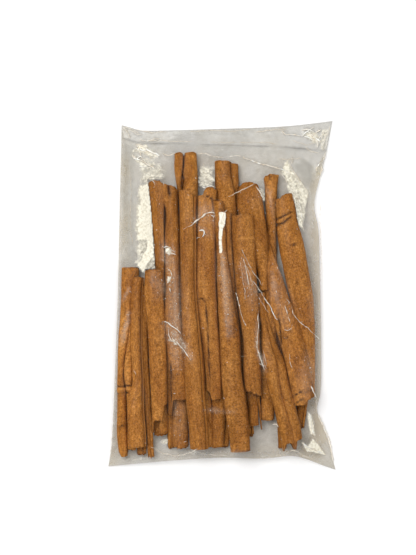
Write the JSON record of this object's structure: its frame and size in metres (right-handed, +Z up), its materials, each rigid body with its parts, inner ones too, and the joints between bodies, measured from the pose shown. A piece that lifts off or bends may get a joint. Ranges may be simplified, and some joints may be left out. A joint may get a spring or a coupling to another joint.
{
  "type": "bag of cinnamon sticks",
  "caption": "Flat clear film bag, folded shut at the mouth and lying down, filled with long rolled cinnamon quills side by side.",
  "frame": {"origin": "middle of the floor under the bag", "axes": "+X across the bag, +Y along the sticks towards the folded mouth, +Z up through the filled side"},
  "size_m": [0.153, 0.235, 0.022],
  "materials": {
    "cinnamon_bark": "matt",
    "clear_film": "gloss"
  },
  "bodies": {
    "root": {"filled_bag": "cinnamon_bark"}
  },
  "joints": []
}
